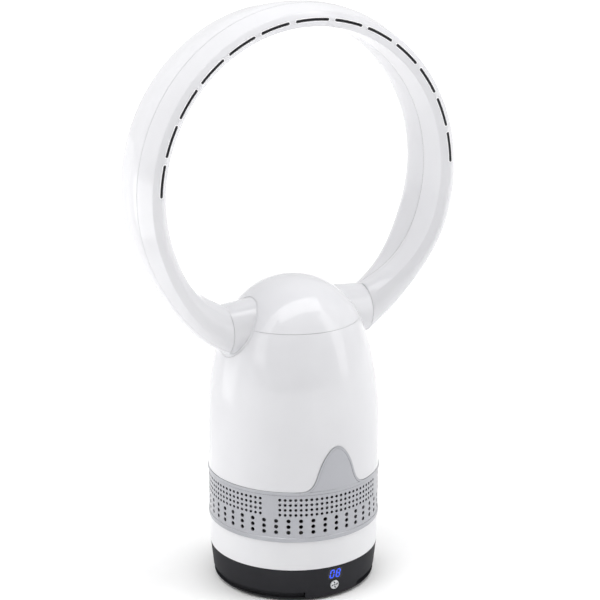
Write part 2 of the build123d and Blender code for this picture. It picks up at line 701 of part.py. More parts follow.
def make_dome():
    """Cap of the head with a lip inside the body wall."""
    low = dome_seam + seam
    cap = dome_form(0, low) - dome_form(wall, low)
    lip_outer = dome_seam_radius - wall - 0.2
    cap += tube(lip_outer - 0.2, lip_outer - 2, low - 4, low + 2)
    return cap - side_rod(collar_opening, -body_radius, body_radius, tilt_height)


def make_collar(side):
    """Round sleeve that carries the arm, with a saddle flange that follows the body."""
    rings = [(collar_root, collar_root_radius), (collar_end, collar_end_radius)]
    taper = loft([Plane((side * place, 0, tilt_height), z_dir=(side, 0, 0)) * Circle(radius)
                  for place, radius in rings])
    skin = (body_form(0) - body_form(wall)) + (dome_form(0, dome_seam) - dome_form(wall, dome_seam))
    start, end = sorted((side * collar_root * 0.8, side * collar_end))
    saddle = skin & side_rod(collar_opening - seam, start, end, tilt_height)
    return taper + saddle - side_rod(collar_bore, -body_radius, body_radius, tilt_height)


def make_tilt_bush(side):
    """Plain bearing in the collar for the arm's trunnion."""
    start, end = sorted((side * (trunnion_inner + trunnion_lip + seam), side * (collar_end - seam)))
    bush = side_rod(collar_bore - screw_fit, start, end, tilt_height)
    return bush - side_rod(trunnion_radius + running, start, end, tilt_height)


def make_trunnion(side):
    """Hollow pin of the arm that turns in the bush and carries the air."""
    start, end = sorted((side * trunnion_inner, side * (arm_start + trunnion_reach)))
    lip_start, lip_end = sorted((side * trunnion_inner, side * (trunnion_inner + trunnion_lip)))
    pin = side_rod(trunnion_radius, start, end, tilt_height)
    pin += side_rod(collar_bore - 0.3, lip_start, lip_end, tilt_height)
    return pin - side_rod(trunnion_bore, start - 1, end + 1, tilt_height)


# ---- ring -------------------------------------------------------------------------------
def morph(angle):
    """How far the section has become the round arm: 0 on the band, 1 at the collar."""
    part = min(1.0, max(0.0, (morph_high - angle) / (morph_high - morph_low)))
    return part * part * (3 - 2 * part)


def blend(flat, bent, share):
    """Point between the flat band and the round arm: its depth changes before its width."""
    across = share * share
    return (1 - across) * flat[0] + across * bent[0], (1 - share) * flat[1] + share * bent[1]


def section_curve(keys, slopes, share, inset, narrow):
    """One edge of the section between the flat band and the round arm."""
    points = []
    reach = collar_end_radius - inset
    for out, back, angle in keys:
        sideways, endways = band_pull(out, back)
        flat = (out - inset * sideways, back - inset * endways)
        turn = radians(angle)
        points.append(blend(flat, (narrow * reach * cos(turn), reach * sin(turn)), share))
    ends = []
    for slope, key in zip(slopes, (keys[0], keys[-1])):
        length, turn = hypot(*slope), radians(key[2])
        flat = slope[0] / length, slope[1] / length
        ends.append(blend(flat, (-narrow * sin(turn), cos(turn)), share))
    return Spline(*points, tangents=ends)


def band_pull(out, back):
    """Direction from the band's skin towards its middle, as a shift for each mm of wall."""
    sideways = max(-1.0, min(1.0, out / 5.0))
    endways = max(-1.0, min(1.0, (back - 1.0) / 36.0)) ** 5
    return sideways, endways


def ring_section(share, inset, narrow=1.0):
    """Closed section of the ring, placed by the distance from the ring's axis."""
    outer = section_curve(outer_curve, outer_slopes, share, inset, narrow)
    inner = section_curve(inner_curve, inner_slopes, share, inset, narrow)
    nose = section_curve(nose_curve, nose_slopes, share, inset, narrow)
    return Face(Wire([outer, inner, nose]))


def station(angle, facing):
    """Plane of a section at an angle from the bottom of the ring, facing along the arm."""
    turn, way = radians(angle), radians(facing)
    return Plane((ring_radius * sin(turn), 0, ring_height - ring_radius * cos(turn)),
                 x_dir=(sin(way), 0, -cos(way)), z_dir=(cos(way), 0, sin(way)))


def arm_form(inset):
    """Filled right arm from the collar joint up to the even band."""
    joint = Plane((arm_start, 0, tilt_height), x_dir=(0, 0, -1), z_dir=(1, 0, 0)) * ring_section(1.0, inset)
    narrow = cos(radians(arm_slope))
    stations = [station(angle, facing) * ring_section(morph(angle), inset, narrow)
                for angle, facing in arm_stations]
    last = station(band_start_angle, band_start_angle) * ring_section(0.0, inset)
    return loft([joint, *stations, last])


def band(section):
    """The section turned from arm to arm over the top of the ring."""
    start = station(band_start_angle, band_start_angle) * section
    return revolve(start, ring_axis, revolution_arc=-(360 - 2 * band_start_angle))


ring_axis = Axis((0, 0, ring_height), (0, 1, 0))


def beyond_seam(front):
    """Part of the section's plane before the seam of the shells, or behind it, with half the gap."""
    shift = seam / 2 if front else -seam / 2
    slope = (seam_outer[1] - seam_inner[1]) / (seam_outer[0] - seam_inner[0])
    reach = 1.5 * collar_end_radius
    middle = seam_inner[1] - slope * seam_inner[0] + shift
    end = -ring_radius / 2 if front else ring_radius / 2
    corners = [(-reach, end), (-reach, middle - slope * reach), (reach, middle + slope * reach), (reach, end)]
    return make_face(Polyline(*corners, close=True))


def ring_shell(front):
    """One of the two shells of the ring, with its halves of the arms."""
    cut = beyond_seam(not front)
    wall_section = ring_section(0.0, 0) - ring_section(0.0, ring_wall) - cut
    room = arm_form(ring_wall) - Pos(0, 0, tilt_height) * Box(2 * (arm_start + arm_end_wall), 90, 90)
    across = Plane((ring_radius, 0, ring_height), x_dir=(1, 0, 0), z_dir=(0, 0, 1))
    arm = arm_form(0) - room - revolve(across * cut, ring_axis)
    bore_end = arm_start + trunnion_reach + seam
    arm -= side_rod(trunnion_radius + screw_fit, arm_start - 1, bore_end, tilt_height)
    arm -= side_rod(1.5 * collar_end_radius, arm_start - arm_end_wall, arm_start, tilt_height)   # flat joint
    return band(wall_section) + arm + mirror(arm, Plane.YZ)


def slot_angles():
    """Middle angle from the top and span of every slot."""
    slots = [(0.0, slot_top_span)]
    for k in range(slot_side_count):
        slots += [(side * (slot_first + slot_pitch * k), slot_span) for side in (-1, 1)]
    return slots


def sector(width, middle, span):
    """Flat strip of a width along the slot circle, about an angle from the top."""
    def corner(radius, angle):
        """Point at a radius and an angle from the top."""
        return radius * sin(radians(angle)), radius * cos(radians(angle))
    start, end = middle - span / 2, middle + span / 2
    outer, inner = slot_circle + width / 2, slot_circle - width / 2
    edge = ThreePointArc(corner(outer, start), corner(outer, middle), corner(outer, end))
    edge += Line(corner(outer, end), corner(inner, end))
    edge += ThreePointArc(corner(inner, end), corner(inner, middle), corner(inner, start))
    edge += Line(corner(inner, start), corner(outer, start))
    return make_face(edge)


def slot_cut(width, shrink, near, far):
    """Prisms of all the slots, each end drawn in by an angle, between two distances in front."""
    outlines = [sector(width, middle, span - 2 * shrink) for middle, span in slot_angles()]
    return [front_plane(near, ring_height) * extrude(outline, far - near) for outline in outlines]


def make_ring_front():
    """Front shell of the ring with its slots."""
    return ring_shell(True) - slot_cut(slot_width, 0.0, nose_depth - slot_reach, nose_depth + slot_reach)


def make_ring_rear():
    """Rear shell of the ring."""
    return ring_shell(False)


def make_outlet_strip():
    """Dark strip behind the nose, with a nozzle that fills each slot and is slit for the air."""
    flat = sector(strip_width, 0.0, 2 * strip_half_angle)
    strip = front_plane(strip_depth, ring_height) * extrude(flat, strip_thickness)
    end_gap = degrees(nozzle_gap / slot_circle)
    root = strip_depth + strip_thickness / 2
    nozzles = slot_cut(slot_width - 2 * nozzle_gap, end_gap, root, nose_depth - nozzle_sink)
    slit_end = degrees(slot_width / slot_circle) / 2
    slits = slot_cut(nozzle_slit, slit_end, nose_depth - slot_reach, nose_depth + slot_reach)
    return strip + nozzles - slits


def mirrored_pair(make):
    """The same piece on the left and on the right."""
    return Compound(children=[make(-1), make(1)])


def build():
    """Every node of the fan by name."""
    window, digits = make_display()
    return {
        "base_shell": make_base_shell(),
        "bottom_cover": make_bottom_cover(),
        "rubber_feet": make_rubber_feet(),
        "cover_screws": make_cover_screws(),
        "display_window": window,
        "display_digits": digits,
        "display_module": make_display_module(),
        "control_board": make_board(),
        "push_switch": make_switch(),
        "power_inlet": make_power_inlet(),
        "power_button": make_button(),
        "gear_motor": make_gear_motor(),
        "swing_pinion": make_pinion(),
        "swing_gear": make_swing_gear(),
        "gear_screws": make_gear_screws(),
        "thrust_ring": make_thrust_ring(),
        "turntable": make_turntable(),
        "lower_skirt": make_skirt(),
        "intake_frame": make_intake_frame(),
        "frame_screws": make_frame_screws(),
        "intake_grille": make_grille(),
        "impeller_shroud": make_shroud(),
        "impeller": make_impeller(),
        "motor_shaft": make_shaft(),
        "motor": make_motor(),
        "motor_bush": make_motor_bush(),
        "diffuser": make_diffuser(),
        "head_duct": make_head_duct(),
        "body_shell": make_body_shell(),
        "dome_cap": make_dome(),
        "collar_left": make_collar(-1),
        "collar_right": make_collar(1),
        "tilt_bushes": mirrored_pair(make_tilt_bush),
        "trunnions": mirrored_pair(make_trunnion),
        "ring_front_shell": make_ring_front(),
        "ring_rear_shell": make_ring_rear(),
        "outlet_strip": make_outlet_strip(),
    }


def main():
    """Build the fan and write one file for each node."""
    os.makedirs("parts", exist_ok=True)
    for name, shape in build().items():
        solids = shape.solids()
        print(name, len(solids), round(sum(solid.volume for solid in solids)))
        export_step(shape, f"parts/{name}.step")


if __name__ == "__main__":
    main()
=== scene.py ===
"""Looks of a bladeless table fan: finishes, fine pieces, studio and camera.

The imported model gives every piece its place. This script dresses those pieces, makes the
perforated silver band and its bell-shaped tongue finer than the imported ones, adds the thin
rims of the air slots and the sign on the button, and sets the camera where the photograph was
taken. The scene is in metres. What a class gives in mm is multiplied by MM.
"""

import logging
import math
from dataclasses import dataclass, field
from enum import Enum
from typing import Any

import bpy
from mathutils import Matrix, Vector

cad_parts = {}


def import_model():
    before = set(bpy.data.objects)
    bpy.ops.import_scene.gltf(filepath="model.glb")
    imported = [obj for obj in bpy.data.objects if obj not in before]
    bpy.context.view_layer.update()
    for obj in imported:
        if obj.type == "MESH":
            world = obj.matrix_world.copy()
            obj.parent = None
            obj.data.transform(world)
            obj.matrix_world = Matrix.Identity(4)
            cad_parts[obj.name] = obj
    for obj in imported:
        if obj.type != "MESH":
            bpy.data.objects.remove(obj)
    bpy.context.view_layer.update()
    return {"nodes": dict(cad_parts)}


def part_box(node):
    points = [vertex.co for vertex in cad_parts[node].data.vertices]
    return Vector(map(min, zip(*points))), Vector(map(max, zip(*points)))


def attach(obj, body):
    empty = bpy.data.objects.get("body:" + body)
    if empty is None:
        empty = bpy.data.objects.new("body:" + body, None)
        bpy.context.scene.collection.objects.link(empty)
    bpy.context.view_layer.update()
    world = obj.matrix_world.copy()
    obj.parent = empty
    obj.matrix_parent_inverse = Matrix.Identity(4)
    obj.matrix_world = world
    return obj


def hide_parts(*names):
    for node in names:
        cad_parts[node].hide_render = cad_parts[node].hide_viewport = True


log = logging.getLogger("fan")
MM = 0.001

# The curve of sRGB: straight up to the toe, then a power.
SRGB_TOE, SRGB_SLOPE, SRGB_OFFSET, SRGB_POWER = 0.04045, 12.92, 0.055, 2.4
# Sockets of Blender's mix node when it mixes colours: only their places tell them apart.
MIX_FACTOR, MIX_FIRST, MIX_SECOND, MIX_RESULT = 0, 6, 7, 2
COAT_ROUGHNESS = 0.08
# Share of metal from which a look leaves the refractive index alone.
METAL_FROM = 0.5
EDGE_SAMPLES = 6
COVER_SAMPLES = 8
WELD_DISTANCE = 0.01 * MM

Tree = bpy.types.NodeTree
Node = bpy.types.Node
Socket = bpy.types.NodeSocket
Piece = bpy.types.Object


# ---- colour and node helpers ------------------------------------------------------------
def linear(hex_colour: str) -> tuple[float, float, float, float]:
    """Turn an sRGB hex colour into Blender's linear colour.

    Args:
        hex_colour: Colour such as "#F2F3F5".

    Returns:
        Red, green, blue and alpha in linear light.
    """
    values = [int(hex_colour[i:i + 2], 16) / 255 for i in (1, 3, 5)]
    red, green, blue = (
        value / SRGB_SLOPE if value <= SRGB_TOE
        else ((value + SRGB_OFFSET) / (1 + SRGB_OFFSET)) ** SRGB_POWER
        for value in values)
    return red, green, blue, 1.0


def direction(azimuth: float, elevation: float) -> Vector:
    """Turn two angles into a direction.

    Args:
        azimuth: Degrees from the back of the fan, clockwise seen from above.
        elevation: Degrees over the horizon.

    Returns:
        The direction, of length 1.
    """
    turn, lift = math.radians(azimuth), math.radians(elevation)
    return Vector((math.sin(turn) * math.cos(lift), math.cos(turn) * math.cos(lift), math.sin(lift)))


def add(tree: Tree, kind: str, inputs: dict[str | int, Any] | None = None, **settings: Any) -> Node:
    """Add a node with its settings, values and links.

    Args:
        tree: Node tree that gets the node.
        kind: Blender's name for the kind of node.
        inputs: Values by the input's name or place; an output socket is linked, the rest is set.
        settings: Properties of the node itself.

    Returns:
        The new node.
    """
    node = tree.nodes.new(kind)
    for name, value in settings.items():
        setattr(node, name, value)
    for name, value in (inputs or {}).items():
        socket = node.inputs[name]
        if isinstance(value, Socket):
            tree.links.new(value, socket)
        else:
            socket.default_value = value
    return node


def ramp(tree: Tree, factor: Socket, low: str, high: str, start: float = 0.35, end: float = 0.65) -> Socket:
    """Spread a pattern between two colours.

    Args:
        tree: Node tree of the material.
        factor: Pattern from 0 to 1.
        low: Colour where the pattern is low.
        high: Colour where the pattern is high.
        start: Value below which all is the low colour.
        end: Value above which all is the high colour.

    Returns:
        The colour output.
    """
    node = add(tree, "ShaderNodeValToRGB", {"Fac": factor})
    first, last = node.color_ramp.elements
    first.position, last.position = start, end
    first.color, last.color = linear(low), linear(high)
    return node.outputs["Color"]


def spread(tree: Tree, factor: Socket, low: float, high: float) -> Socket:
    """Spread a pattern between two plain values.

    Args:
        tree: Node tree of the material.
        factor: Pattern from 0 to 1.
        low: Value where the pattern is 0.
        high: Value where the pattern is 1.

    Returns:
        The value output.
    """
    node = add(tree, "ShaderNodeMapRange", {"Value": factor, "To Min": low, "To Max": high})
    return node.outputs["Result"]


def fade(tree: Tree, value: Socket, start: float, end: float, low: float, high: float) -> Socket:
    """Fade softly from one value to another.

    Args:
        tree: Node tree of the material or the world.
        value: What the fade follows.
        start: Where the fade starts.
        end: Where it ends.
        low: Value up to the start.
        high: Value from the end on.

    Returns:
        The value output.
    """
    node = add(tree, "ShaderNodeMapRange", {
        "Value": value, "From Min": start, "From Max": end, "To Min": low, "To Max": high,
    }, interpolation_type="SMOOTHSTEP")
    return node.outputs["Result"]


# ---- finishes ---------------------------------------------------------------------------
@dataclass(frozen=True)
class Finish:
    """A surface finish with its name, colours and gloss.

    Attributes:
        name: Real material and how its surface was made.
        light: The lighter of its two close colours, sRGB hex.
        dark: The darker of its two close colours, sRGB hex.
        roughness: Middle roughness of the surface.
        metallic: Share of bare metal in the look.
        grain: Size of the surface's grain in mm.
        relief: Height of the grain in mm.
        coat: Strength of a clear top layer.
        ior: Refractive index of a plastic or paint.
        shine: Strength of a plastic's mirror image, 0.5 for a clean one.
        edge: Radius in mm to which the tool's edges are eased in the look.
        clouds: Size in mm of the clouds in its colour or gloss.
        swing: Share by which its roughness swings up and down.
    """

    name: str
    light: str
    dark: str
    roughness: float
    metallic: float = 0.0
    grain: float = 2.0
    relief: float = 0.01
    coat: float = 0.0
    ior: float = 1.5
    shine: float = 0.5
    edge: float = 0.25
    clouds: float = 60.0
    swing: float = 0.15

    def material(self) -> bpy.types.Material:
        """Return the finish as a material, made on first use."""
        made = bpy.data.materials.get(self.name)
        if made is not None:
            return made
        made = bpy.data.materials.new(self.name)
        made.use_nodes = True
        tree = made.node_tree
        tree.nodes.clear()
        shader = add(tree, "ShaderNodeBsdfPrincipled")
        shader.inputs["Metallic"].default_value = self.metallic
        if self.metallic < METAL_FROM:
            shader.inputs["IOR"].default_value = self.ior
            shader.inputs["Specular IOR Level"].default_value = self.shine
        shader.inputs["Coat Weight"].default_value = self.coat
        shader.inputs["Coat Roughness"].default_value = COAT_ROUGHNESS
        place = add(tree, "ShaderNodeTexCoord").outputs["Object"]
        self.dress(tree, shader, place)
        add(tree, "ShaderNodeOutputMaterial", {"Surface": shader.outputs["BSDF"]})
        return made

    def pattern(self, tree: Tree, place: Socket, size: float, detail: float = 3.0) -> Socket:
        """Add cloudy noise.

        Args:
            tree: Node tree of the material.
            place: Coordinates in metres.
            size: Size of one cloud in mm.
            detail: Number of finer layers in the noise.

        Returns:
            The pattern from 0 to 1.
        """
        scale = 1 / (size * MM)
        noise = add(tree, "ShaderNodeTexNoise", {"Vector": place, "Scale": scale, "Detail": detail})
        return noise.outputs["Fac"]

    def vary_gloss(self, tree: Tree, shader: Node, pattern: Socket) -> None:
        """Let the roughness follow a pattern.

        Args:
            tree: Node tree of the material.
            shader: Principled shader of the material.
            pattern: Pattern from 0 to 1.
        """
        rough = spread(tree, pattern, self.roughness * (1 - self.swing), self.roughness * (1 + self.swing))
        tree.links.new(rough, shader.inputs["Roughness"])

    def raise_grain(self, tree: Tree, shader: Node, height: Socket) -> None:
        """Use a pattern as the relief of the surface.

        Args:
            tree: Node tree of the material.
            shader: Principled shader of the material.
            height: Pattern from 0 to 1.
        """
        eased = add(tree, "ShaderNodeBevel", {"Radius": self.edge * MM}, samples=EDGE_SAMPLES)
        bump = add(tree, "ShaderNodeBump", {
            "Height": height, "Distance": self.relief * MM, "Strength": 1.0,
            "Normal": eased.outputs["Normal"]})
        tree.links.new(bump.outputs["Normal"], shader.inputs["Normal"])

    def dress(self, tree: Tree, shader: Node, place: Socket) -> None:
        """Give the shader its colour, gloss and relief.

        Args:
            tree: Node tree of the material.
            shader: Principled shader of the material.
            place: Object coordinates in metres.
        """
        clouds = self.pattern(tree, place, self.clouds)
        grain = self.pattern(tree, place, self.grain, detail=2.0)
        tree.links.new(ramp(tree, clouds, self.dark, self.light), shader.inputs["Base Color"])
        self.vary_gloss(tree, shader, grain)
        self.raise_grain(tree, shader, grain)


@dataclass(frozen=True)
class FlakePaint(Finish):
    """Metallic paint: small bright flakes under a thin clear coat, with painted shade in holes and concave
    corners.

    Attributes:
        flake: Size of one flake in mm.
        bare_and_shade: Near-black painted shade for holes and concave corners, also the unsprayed plastic
            deep in the holes.
        spray_and_shade_reach: How far in mm a spot looks round itself for walls that shade it and keep the
            spray off.
        dark_to: Openness of a spot up to which it takes the painted shade in full.
        clear_from: Openness of a spot from which it keeps the paint's own colour in full.
    """

    flake: float = 0.9
    bare_and_shade: str = "#0E0E0F"
    spray_and_shade_reach: float = 3.0
    dark_to: float = 0.68
    clear_from: float = 0.87
    clouds: float = 40.0
    swing: float = 0.1

    def dress(self, tree: Tree, shader: Node, place: Socket) -> None:
        """Give the shader flakes of slightly different brightness, and painted shade in the holes and
        concave corners.

        Args:
            tree: Node tree of the material.
            shader: Principled shader of the material.
            place: Object coordinates in metres.
        """
        flakes = add(tree, "ShaderNodeTexVoronoi", {"Vector": place, "Scale": 1 / (self.flake * MM)})
        grey = add(tree, "ShaderNodeSeparateColor", {"Color": flakes.outputs["Color"]}).outputs["Red"]
        flaked = ramp(tree, grey, self.dark, self.light, 0.0, 1.0)
        # Painted shade: where a spot is closed in, in a hole or a concave corner, cover drops and the colour
        # goes to near black.
        openness = add(tree, "ShaderNodeAmbientOcclusion", {"Distance": self.spray_and_shade_reach * MM},
                       samples=COVER_SAMPLES, only_local=True)
        cover = add(tree, "ShaderNodeMapRange", {
            "Value": openness.outputs["AO"], "From Min": self.dark_to, "From Max": self.clear_from})
        coated_and_shaded = add(tree, "ShaderNodeMix", {
            MIX_FACTOR: cover.outputs["Result"], MIX_FIRST: linear(self.bare_and_shade), MIX_SECOND: flaked,
        }, data_type="RGBA", blend_type="MIX")
        tree.links.new(coated_and_shaded.outputs[MIX_RESULT], shader.inputs["Base Color"])
        self.vary_gloss(tree, shader, self.pattern(tree, place, self.clouds))
        self.raise_grain(tree, shader, grey)


@dataclass(frozen=True)
class TurnedMetal(Finish):
    """Metal with the fine rings that turning leaves, drawn round the front-to-back axis.

    Attributes:
        waver: How much the rings waver.
    """

    waver: float = 0.6
    clouds: float = 8.0
    swing: float = 0.2

    def dress(self, tree: Tree, shader: Node, place: Socket) -> None:
        """Give the shader fine rings and a cloudy sheen.

        Args:
            tree: Node tree of the material.
            shader: Principled shader of the material.
            place: Object coordinates in metres.
        """
        rings = add(tree, "ShaderNodeTexWave", {
            "Vector": place, "Scale": 1 / (self.grain * MM), "Distortion": self.waver, "Detail": 1.0,
        }, wave_type="RINGS", rings_direction="Y").outputs["Fac"]
        clouds = self.pattern(tree, place, self.clouds)
        tree.links.new(ramp(tree, clouds, self.dark, self.light), shader.inputs["Base Color"])
        self.vary_gloss(tree, shader, rings)
        self.raise_grain(tree, shader, rings)


@dataclass(frozen=True)
class LitSegment(Finish):
    """Lamp segment behind a diffuser: it glows in faint clouds.

    Attributes:
        glow: Strength of its light.
    """

    glow: float = 0.85

    def dress(self, tree: Tree, shader: Node, place: Socket) -> None:
        """Give the shader its glow.

        Args:
            tree: Node tree of the material.
            shader: Principled shader of the material.
            place: Object coordinates in metres.
        """
        clouds = self.pattern(tree, place, self.grain)
        colour = ramp(tree, clouds, self.dark, self.light)
        tree.links.new(colour, shader.inputs["Base Color"])
        tree.links.new(colour, shader.inputs["Emission Color"])
        shader.inputs["Emission Strength"].default_value = self.glow
        shader.inputs["Roughness"].default_value = self.roughness


class Look(Enum):
    """Every finish of the fan."""

    # Moulded in a polished tool: clear mirror of the studio, with the faint waviness of ABS.
    WHITE_ABS = Finish("Polished_moulded_ABS_white", "#E1E1E4", "#DEDEE1", 0.07, grain=9.0, relief=0.002)
    # The same for the ring's front half, whose nose has softly rounded edges.
    WHITE_RING = Finish("Polished_moulded_ABS_white_soft_edge", "#E0E0E3", "#DDDDE0", 0.1,
                        grain=9.0, relief=0.002, edge=2.2)
    # The thin rims of the slots catch more light than the shell, so they are drawn a touch whiter: a painted
    # highlight on white ABS.
    WHITE_RIM = Finish("Moulded_ABS_white_painted_highlight", "#F9F9FA", "#F6F6F8", 0.12,
                       grain=3.0, relief=0.001)
    # The skirt is moulded a touch duller, in a tool with a fine satin face.
    WHITE_SATIN = Finish("Satin_moulded_ABS_white", "#E8E8EA", "#E5E5E8", 0.3, grain=5.0, relief=0.003)
    # Spark-eroded tool face: fine even grain, drawn at 0.8 mm so that it shows.
    BLACK_ABS = Finish("Spark_eroded_ABS_black", "#37373A", "#323235", 0.5,
                       grain=0.8, relief=0.006, ior=1.35, shine=0.05)
    # Moulded nylon with a dull skin, in three shades.
    # Behind the band's holes the frame's near black is partly painted shade inside the band; for the other
    # dark parts it is their own colour.
    DARK_NYLON = Finish("Moulded_nylon_dark_and_painted_shade", "#1B1B1D", "#161618", 0.55, grain=1.5, relief=0.01)
    # The strip behind the air slots is drawn dark grey: partly its own colour, partly painted shade inside
    # the slots.
    SLOT_NYLON = Finish("Moulded_nylon_slot_grey_and_painted_shade", "#3E3E42", "#37373B", 0.5, grain=1.0, relief=0.005)
    GREY_NYLON = Finish("Moulded_nylon_grey", "#8E9092", "#85878A", 0.5, grain=2.0, relief=0.01)
    # Gears and bushes moulded in undyed acetal.
    ACETAL = Finish("Moulded_acetal_natural", "#E9E6DD", "#E2DFD5", 0.35, grain=2.5, relief=0.005)
    # Sprayed flake paint under clear coat, with painted shade darkening the holes and concave corners; deep
    # in the holes this also stands for the plastic that the spray doesn't reach.
    SILVER = FlakePaint("Flake_paint_silver", "#AEAFB4", "#A8A9AE", 0.34,
                        metallic=0.7, relief=0.0004, coat=0.3, flake=0.35)
    # Spun and anodised aluminium cap, with the spinning marks left on.
    BUTTON = TurnedMetal("Spun_anodised_aluminium", "#D5D6D8", "#C4C5C7", 0.3,
                         metallic=1.0, grain=0.35, relief=0.004)
    # Screws, shaft and motor cans of turned steel under zinc.
    STEEL = TurnedMetal("Turned_zinc_plated_steel", "#B9BABC", "#A6A8AB", 0.35,
                        metallic=1.0, grain=0.8, relief=0.004)
    # Smoked acrylic sheet, polished on both faces.
    WINDOW = Finish("Polished_smoked_acrylic", "#141418", "#101013", 0.08, grain=6.0, relief=0.001, ior=1.49)
    # Lit segments behind a milky diffuser.
    DIGITS = LitSegment("Lit_diffuser_blue", "#3358F0", "#2344DC", 0.4, grain=1.5)
    # Ink pressed through a screen: slightly uneven and dull.
    MARK = Finish("Screen_printed_ink_dark_grey", "#3B3C40", "#333438", 0.5, grain=0.5, relief=0.002)
    # Soft moulded rubber, matt.
    RUBBER = Finish("Moulded_silicone_rubber_black", "#1F1F20", "#1A1A1B", 0.7, grain=1.0, relief=0.01)
    # Glass laminate under a coat of solder mask.
    BOARD = Finish("Solder_masked_glass_laminate_green", "#1E5B3A", "#184C30", 0.35, grain=1.2, relief=0.01)
    # Matt paper of the studio's floor.
    BACKDROP = Finish("Matt_paper_white", "#FFFFFF", "#FDFDFD", 0.9, grain=4.0, relief=0.01)

    @property
    def material(self) -> bpy.types.Material:
        """The finish as a Blender material."""
        return self.value.material()


# ---- modelling helpers ------------------------------------------------------------------
def deselect() -> None:
    """Leave nothing selected, so that an operator acts only on what is added next."""
    if bpy.context.object is not None and bpy.context.object.mode != "OBJECT":
        bpy.ops.object.mode_set(mode="OBJECT")
    bpy.ops.object.select_all(action="DESELECT")


def pick(piece: Piece) -> None:
    """Select one piece alone and make it the active one.

    Args:
        piece: Piece to work on.
    """
    deselect()
    piece.select_set(True)
    bpy.context.view_layer.objects.active = piece


def settle(piece: Piece) -> None:
    """Put a piece's place, turn and size into its mesh.

    Args:
        piece: Piece whose object is moved, turned or scaled.
    """
    pick(piece)
    bpy.ops.object.transform_apply(location=True, rotation=True, scale=True)


def modify(piece: Piece, kind: str, **settings: Any) -> None:
    """Add a modifier and apply it at once.

    Args:
        piece: Piece that is changed.
        kind: Blender's name for the kind of modifier.
        settings: Properties of the modifier.
    """
    modifier = piece.modifiers.new(kind.title(), kind)
    for name, value in settings.items():
        setattr(modifier, name, value)
    pick(piece)
    bpy.ops.object.modifier_apply(modifier=modifier.name)


def face_outwards(piece: Piece) -> None:
    """Turn all faces of a piece to the same side, outwards where it is closed.

    Args:
        piece: Piece to mend.
    """
    pick(piece)
    bpy.ops.object.mode_set(mode="EDIT")
    bpy.ops.mesh.select_all(action="SELECT")
    bpy.ops.mesh.normals_make_consistent(inside=False)
    bpy.ops.object.mode_set(mode="OBJECT")


def finish_piece(piece: Piece, name: str, look: Look, body: str,
                 stands_for: tuple[str, ...] = (), smooth_angle: float = 35.0) -> Piece:
    """Name, shade, dress and attach a finished piece.

    Args:
        piece: Piece with its final mesh.
        name: Name of the piece.
        look: Its finish.
        body: Body that it rides on.
        stands_for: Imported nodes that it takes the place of.
        smooth_angle: Edges sharper than this many degrees stay crisp.

    Returns:
        The same piece.
    """
    pick(piece)
    bpy.ops.object.shade_smooth_by_angle(angle=math.radians(smooth_angle))
    piece.name = piece.data.name = name
    piece.data.materials.clear()
    piece.data.materials.append(look.material)
    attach(piece, body)
    if stands_for:
        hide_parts(*stands_for)
    log.info("%s: %d faces, %s", name, len(piece.data.polygons), look.name)
    return piece


def join(pieces: list[Piece]) -> Piece:
    """Join several pieces into the first one.

    Args:
        pieces: Pieces to join.

    Returns:
        The joined piece.
    """
    deselect()
    for piece in pieces:
        piece.select_set(True)
    bpy.context.view_layer.objects.active = pieces[0]
    bpy.ops.object.join()
    return pieces[0]


def turned_piece(profile: list[tuple[float, float]], steps: int) -> Piece:
    """Spin a closed profile round the upright axis.

    Args:
        profile: Corners as radius and height in mm, in order round the profile.
        steps: Number of steps round the axis.

    Returns:
        The closed ring that the profile makes.
    """
    deselect()
    bpy.ops.mesh.primitive_circle_add(vertices=len(profile), radius=1.0, location=(0, 0, 0))
    piece = bpy.context.object
    for vertex, (radius, height) in zip(piece.data.vertices, profile):
        vertex.co = (radius * MM, 0.0, height * MM)
    bpy.ops.object.mode_set(mode="EDIT")
    bpy.ops.mesh.select_all(action="SELECT")
    bpy.ops.mesh.spin(steps=steps, angle=math.tau, center=(0, 0, 0), axis=(0, 0, 1))
    bpy.ops.mesh.select_all(action="SELECT")
    bpy.ops.mesh.remove_doubles(threshold=WELD_DISTANCE)
    bpy.ops.mesh.normals_make_consistent(inside=False)
    bpy.ops.object.mode_set(mode="OBJECT")
    return piece


# ---- sub-assemblies ---------------------------------------------------------------------
@dataclass
class PackedPieces:
    """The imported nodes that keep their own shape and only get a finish."""

    nodes: dict[str, Piece]
    looks: dict[Look, tuple[str, ...]] = field(default_factory=lambda: {
        Look.WHITE_ABS: ("body_shell", "dome_cap", "collar_left", "collar_right", "ring_rear_shell"),
        Look.WHITE_RING: ("ring_front_shell",),
        Look.WHITE_SATIN: ("lower_skirt",),
        Look.BLACK_ABS: ("base_shell", "bottom_cover"),
        # The intake frame is drawn near black partly as painted shade seen through the band's holes.
        Look.DARK_NYLON: ("display_module", "push_switch", "power_inlet", "turntable", "intake_frame",
                          "impeller_shroud"),
        # The outlet strip's dark grey is partly painted shade inside the slots.
        Look.SLOT_NYLON: ("outlet_strip",),
        Look.GREY_NYLON: ("impeller", "diffuser", "head_duct", "trunnions"),
        Look.ACETAL: ("swing_pinion", "swing_gear", "thrust_ring", "tilt_bushes"),
        Look.SILVER: ("intake_grille",),
        Look.BUTTON: ("power_button",),
        Look.STEEL: ("cover_screws", "gear_screws", "frame_screws", "gear_motor", "motor", "motor_shaft"),
        Look.WINDOW: ("display_window",),
        Look.DIGITS: ("display_digits",),
        Look.RUBBER: ("rubber_feet", "motor_bush"),
        Look.BOARD: ("control_board",),
    })

    def dress(self) -> None:
        """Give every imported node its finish."""
        for look, names in self.looks.items():
            for name in names:
                node = self.nodes[name]
                node.data.materials.clear()
                node.data.materials.append(look.material)
                log.info("%s: packed shape, %s", name, look.name)
        missed = set(self.nodes) - {name for names in self.looks.values() for name in names}
        if missed:
            log.warning("no finish for %s", sorted(missed))


